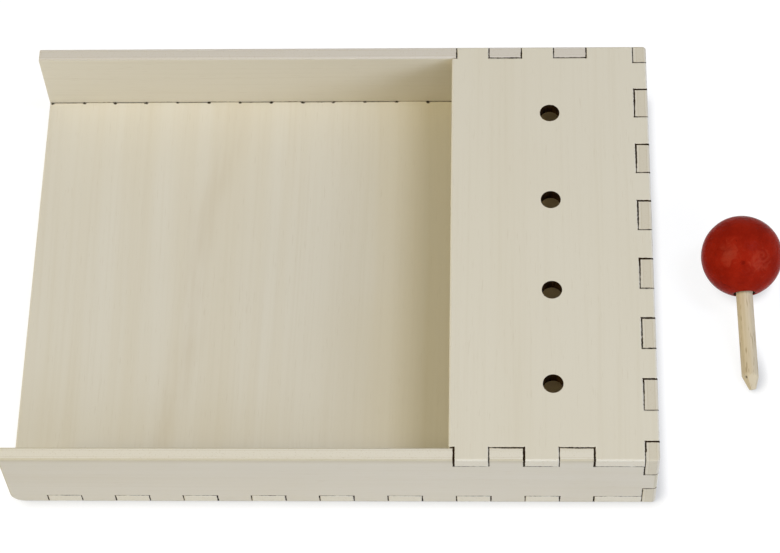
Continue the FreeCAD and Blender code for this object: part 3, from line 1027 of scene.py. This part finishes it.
def make_peg():
    """A dowel with its point whittled by a few knife cuts and its end blunted."""
    peg = bmesh.new()
    bmesh.ops.create_cone(
        peg, cap_ends=True, cap_tris=False, segments=PEG_SIDES, radius1=PEG_RADIUS, radius2=PEG_RADIUS,
        depth=PEG_REACH - BORE_END,
    )
    bmesh.ops.translate(peg, vec=(0, 0, (PEG_REACH + BORE_END) / 2), verts=peg.verts[:])
    for degrees, start in WHITTLED:
        turn = math.radians(degrees)
        outward = Vector((math.cos(turn), math.sin(turn), 0))
        along = Vector((-math.sin(turn), math.cos(turn), 0))
        shoulder = outward * PEG_RADIUS + Vector((0, 0, start * MM))
        point = outward * POINT_RADIUS + Vector((POINT_OFFSET, 0, PEG_REACH))
        knife_cut(peg, shoulder, along.cross(point - shoulder).normalized())
    knife_cut(peg, Vector((0, 0, PEG_REACH - END_TRIM)), END_TILT)
    peg.normal_update()
    end_rim = [edge for edge in peg.edges if edge.calc_face_angle(0) > RIM_FOLD
               and all(vertex.co.z > PEG_REACH - END_REACH for vertex in edge.verts)]
    ease(peg, end_rim, END_EASE)
    bmesh.ops.remove_doubles(peg, verts=peg.verts[:], dist=MERGE)
    bmesh.ops.transform(peg, matrix=JACK_PLACE, verts=peg.verts[:])
    return finish_piece("jack_peg_whittled", peg, (DOWEL_WOOD,), sharp_fold=PEG_SHARP_FOLD)


ball = make_ball()
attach(ball, "jack")
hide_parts("jack_ball")
peg = make_peg()
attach(peg, "jack")
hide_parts("jack_peg")


# The table, light and camera

TABLE_SIZE = 3.0
TABLE_DROP = 0.2 * MM
# The table's painted contact shadow: its reach, its lean, and the glow in it and beyond it
SHADOW_REACH = 4.8 * MM
SHADOW_LEAN = (-0.7, 0.0, 0.7)
SHADOW_CORE = 0.2
SHADOW_GLOW = 0.42
TABLE_GLOW = 0.9
TABLE_GREY = (0.9, 0.9, 0.9, 1.0)
SHADED_GREY = (0.17, 0.17, 0.17, 1.0)
WHITE = (1.0, 1.0, 1.0, 1.0)
DOME_COLOUR = (0.96, 0.97, 1.0, 1.0)
DOME_STRENGTH = 0.25
LIGHT_AIM = Vector((0.03, 0.0, 0.0))
LIGHT_DISTANCE = 1.6
# Each lamp's way from the tray, its width and height, and its power in red, green and blue
LIGHTS = (
    ("right_softbox", (0.743, -0.528, 0.41), 0.7, 0.6, (6.30, 7.09, 8.90)),
    ("ceiling_softbox", (0.47, 0.0, 0.88), 0.3, 0.6, (6.35, 6.82, 8.20)),
    ("left_softbox", (-0.60, -0.28, 0.75), 0.7, 0.6, (12.60, 11.33, 7.60)),
    ("front_softbox", (0.30, -0.93, 0.20), 0.8, 0.4, (2.05, 2.15, 2.40)),
)

# The camera as fitted to the corners of the joints
SENSOR_WIDTH = 36.0
FOCAL_LENGTH = 119.11
CAMERA_PLACE = Vector((0.048696, -0.388353, 0.689372))
CAMERA_RIGHT = Vector((0.99912, 0.01948, -0.03705))
CAMERA_UP = Vector((0.00144, 0.86857, 0.49557))
CAMERA_BACK = Vector((0.04183, -0.49519, 0.86778))


def sees_background(tree):
    """1 for the camera's rays, also by way of metal or glass, and 0 for rays that light a surface."""
    path = add_node(tree, "ShaderNodeLightPath").outputs
    seen = maths(tree, "ADD", path["Is Camera Ray"], path["Is Glossy Ray"])
    return maths(tree, "ADD", seen, path["Is Transmission Ray"], clamp=True)


def make_table():
    """A wide pale table, white to the camera, where the object's real shadow shows faintly and a painted
    contact shadow, leaning to the right, dims the glow.
    """
    table = bmesh.new()
    bmesh.ops.create_grid(table, x_segments=2, y_segments=2, size=TABLE_SIZE)
    bmesh.ops.translate(table, vec=(0, 0, -TABLE_DROP), verts=table.verts[:])
    material, tree, shader = new_material("white_table")
    tree.nodes.remove(shader)
    # Painted shadow: occlusion along a leaning normal dims the glow the camera sees
    lean = add_node(tree, "ShaderNodeCombineXYZ", dict(enumerate(SHADOW_LEAN))).outputs[0]
    painted_shadow = add_node(tree, "ShaderNodeAmbientOcclusion", {"Distance": SHADOW_REACH, "Normal": lean})
    glow_level = ramp(tree, painted_shadow.outputs["AO"], SHADOW_CORE, 1.0, SHADOW_GLOW, TABLE_GLOW)
    lit = add_node(tree, "ShaderNodeBsdfDiffuse", {"Color": TABLE_GREY})
    faint = add_node(tree, "ShaderNodeBsdfDiffuse", {"Color": SHADED_GREY})
    glow = add_node(tree, "ShaderNodeEmission", {"Color": WHITE, "Strength": glow_level})
    white = add_node(tree, "ShaderNodeAddShader", {0: faint.outputs[0], 1: glow.outputs[0]})
    both = add_node(tree, "ShaderNodeMixShader", {
        0: sees_background(tree), 1: lit.outputs[0], 2: white.outputs[0],
    })
    tree.links.new(both.outputs[0], tree.nodes["Material Output"].inputs["Surface"])
    piece = finish_piece("table", table, (material,))
    piece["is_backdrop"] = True


def make_world():
    """Soft light from all round, white where the camera looks past the table."""
    world = bpy.data.worlds.new("studio")
    bpy.context.scene.world = world
    world.use_nodes = True
    tree = world.node_tree
    tree.nodes.clear()
    dome = add_node(tree, "ShaderNodeBackground", {"Color": DOME_COLOUR, "Strength": DOME_STRENGTH})
    white = add_node(tree, "ShaderNodeBackground", {"Color": WHITE, "Strength": 1.0})
    both = add_node(tree, "ShaderNodeMixShader", {
        0: sees_background(tree), 1: dome.outputs[0], 2: white.outputs[0],
    })
    end = add_node(tree, "ShaderNodeOutputWorld")
    tree.links.new(both.outputs[0], end.inputs["Surface"])


def add_softbox(name, way, wide, high, power):
    """A soft rectangular lamp that faces the tray, with its power given for red, green and blue."""
    strongest = max(power)
    lamp = bpy.data.lights.new(name, "AREA")
    lamp.shape = "RECTANGLE"
    lamp.size = wide
    lamp.size_y = high
    lamp.energy = strongest
    lamp.color = [level / strongest for level in power]
    box = bpy.data.objects.new(name, lamp)
    outward = Vector(way).normalized()
    box.location = LIGHT_AIM + outward * LIGHT_DISTANCE
    box.rotation_euler = outward.to_track_quat("Z", "Y").to_euler()
    bpy.context.scene.collection.objects.link(box)


def add_camera():
    """The photograph's view of the tray, looking down from the front."""
    lens = bpy.data.cameras.new("camera")
    lens.sensor_fit = "HORIZONTAL"
    lens.sensor_width = SENSOR_WIDTH
    lens.lens = FOCAL_LENGTH
    lens.clip_start = 0.01
    lens.clip_end = 50.0
    camera = bpy.data.objects.new("camera", lens)
    turned = Matrix((CAMERA_RIGHT, CAMERA_UP, CAMERA_BACK)).transposed().to_4x4()
    camera.matrix_world = Matrix.Translation(CAMERA_PLACE) @ turned
    bpy.context.scene.collection.objects.link(camera)
    bpy.context.scene.camera = camera


make_table()
make_world()
for name, way, wide, high, power in LIGHTS:
    add_softbox(name, way, wide, high, power)
add_camera()

view = bpy.context.scene.view_settings
view.view_transform = "Standard"

low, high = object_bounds()
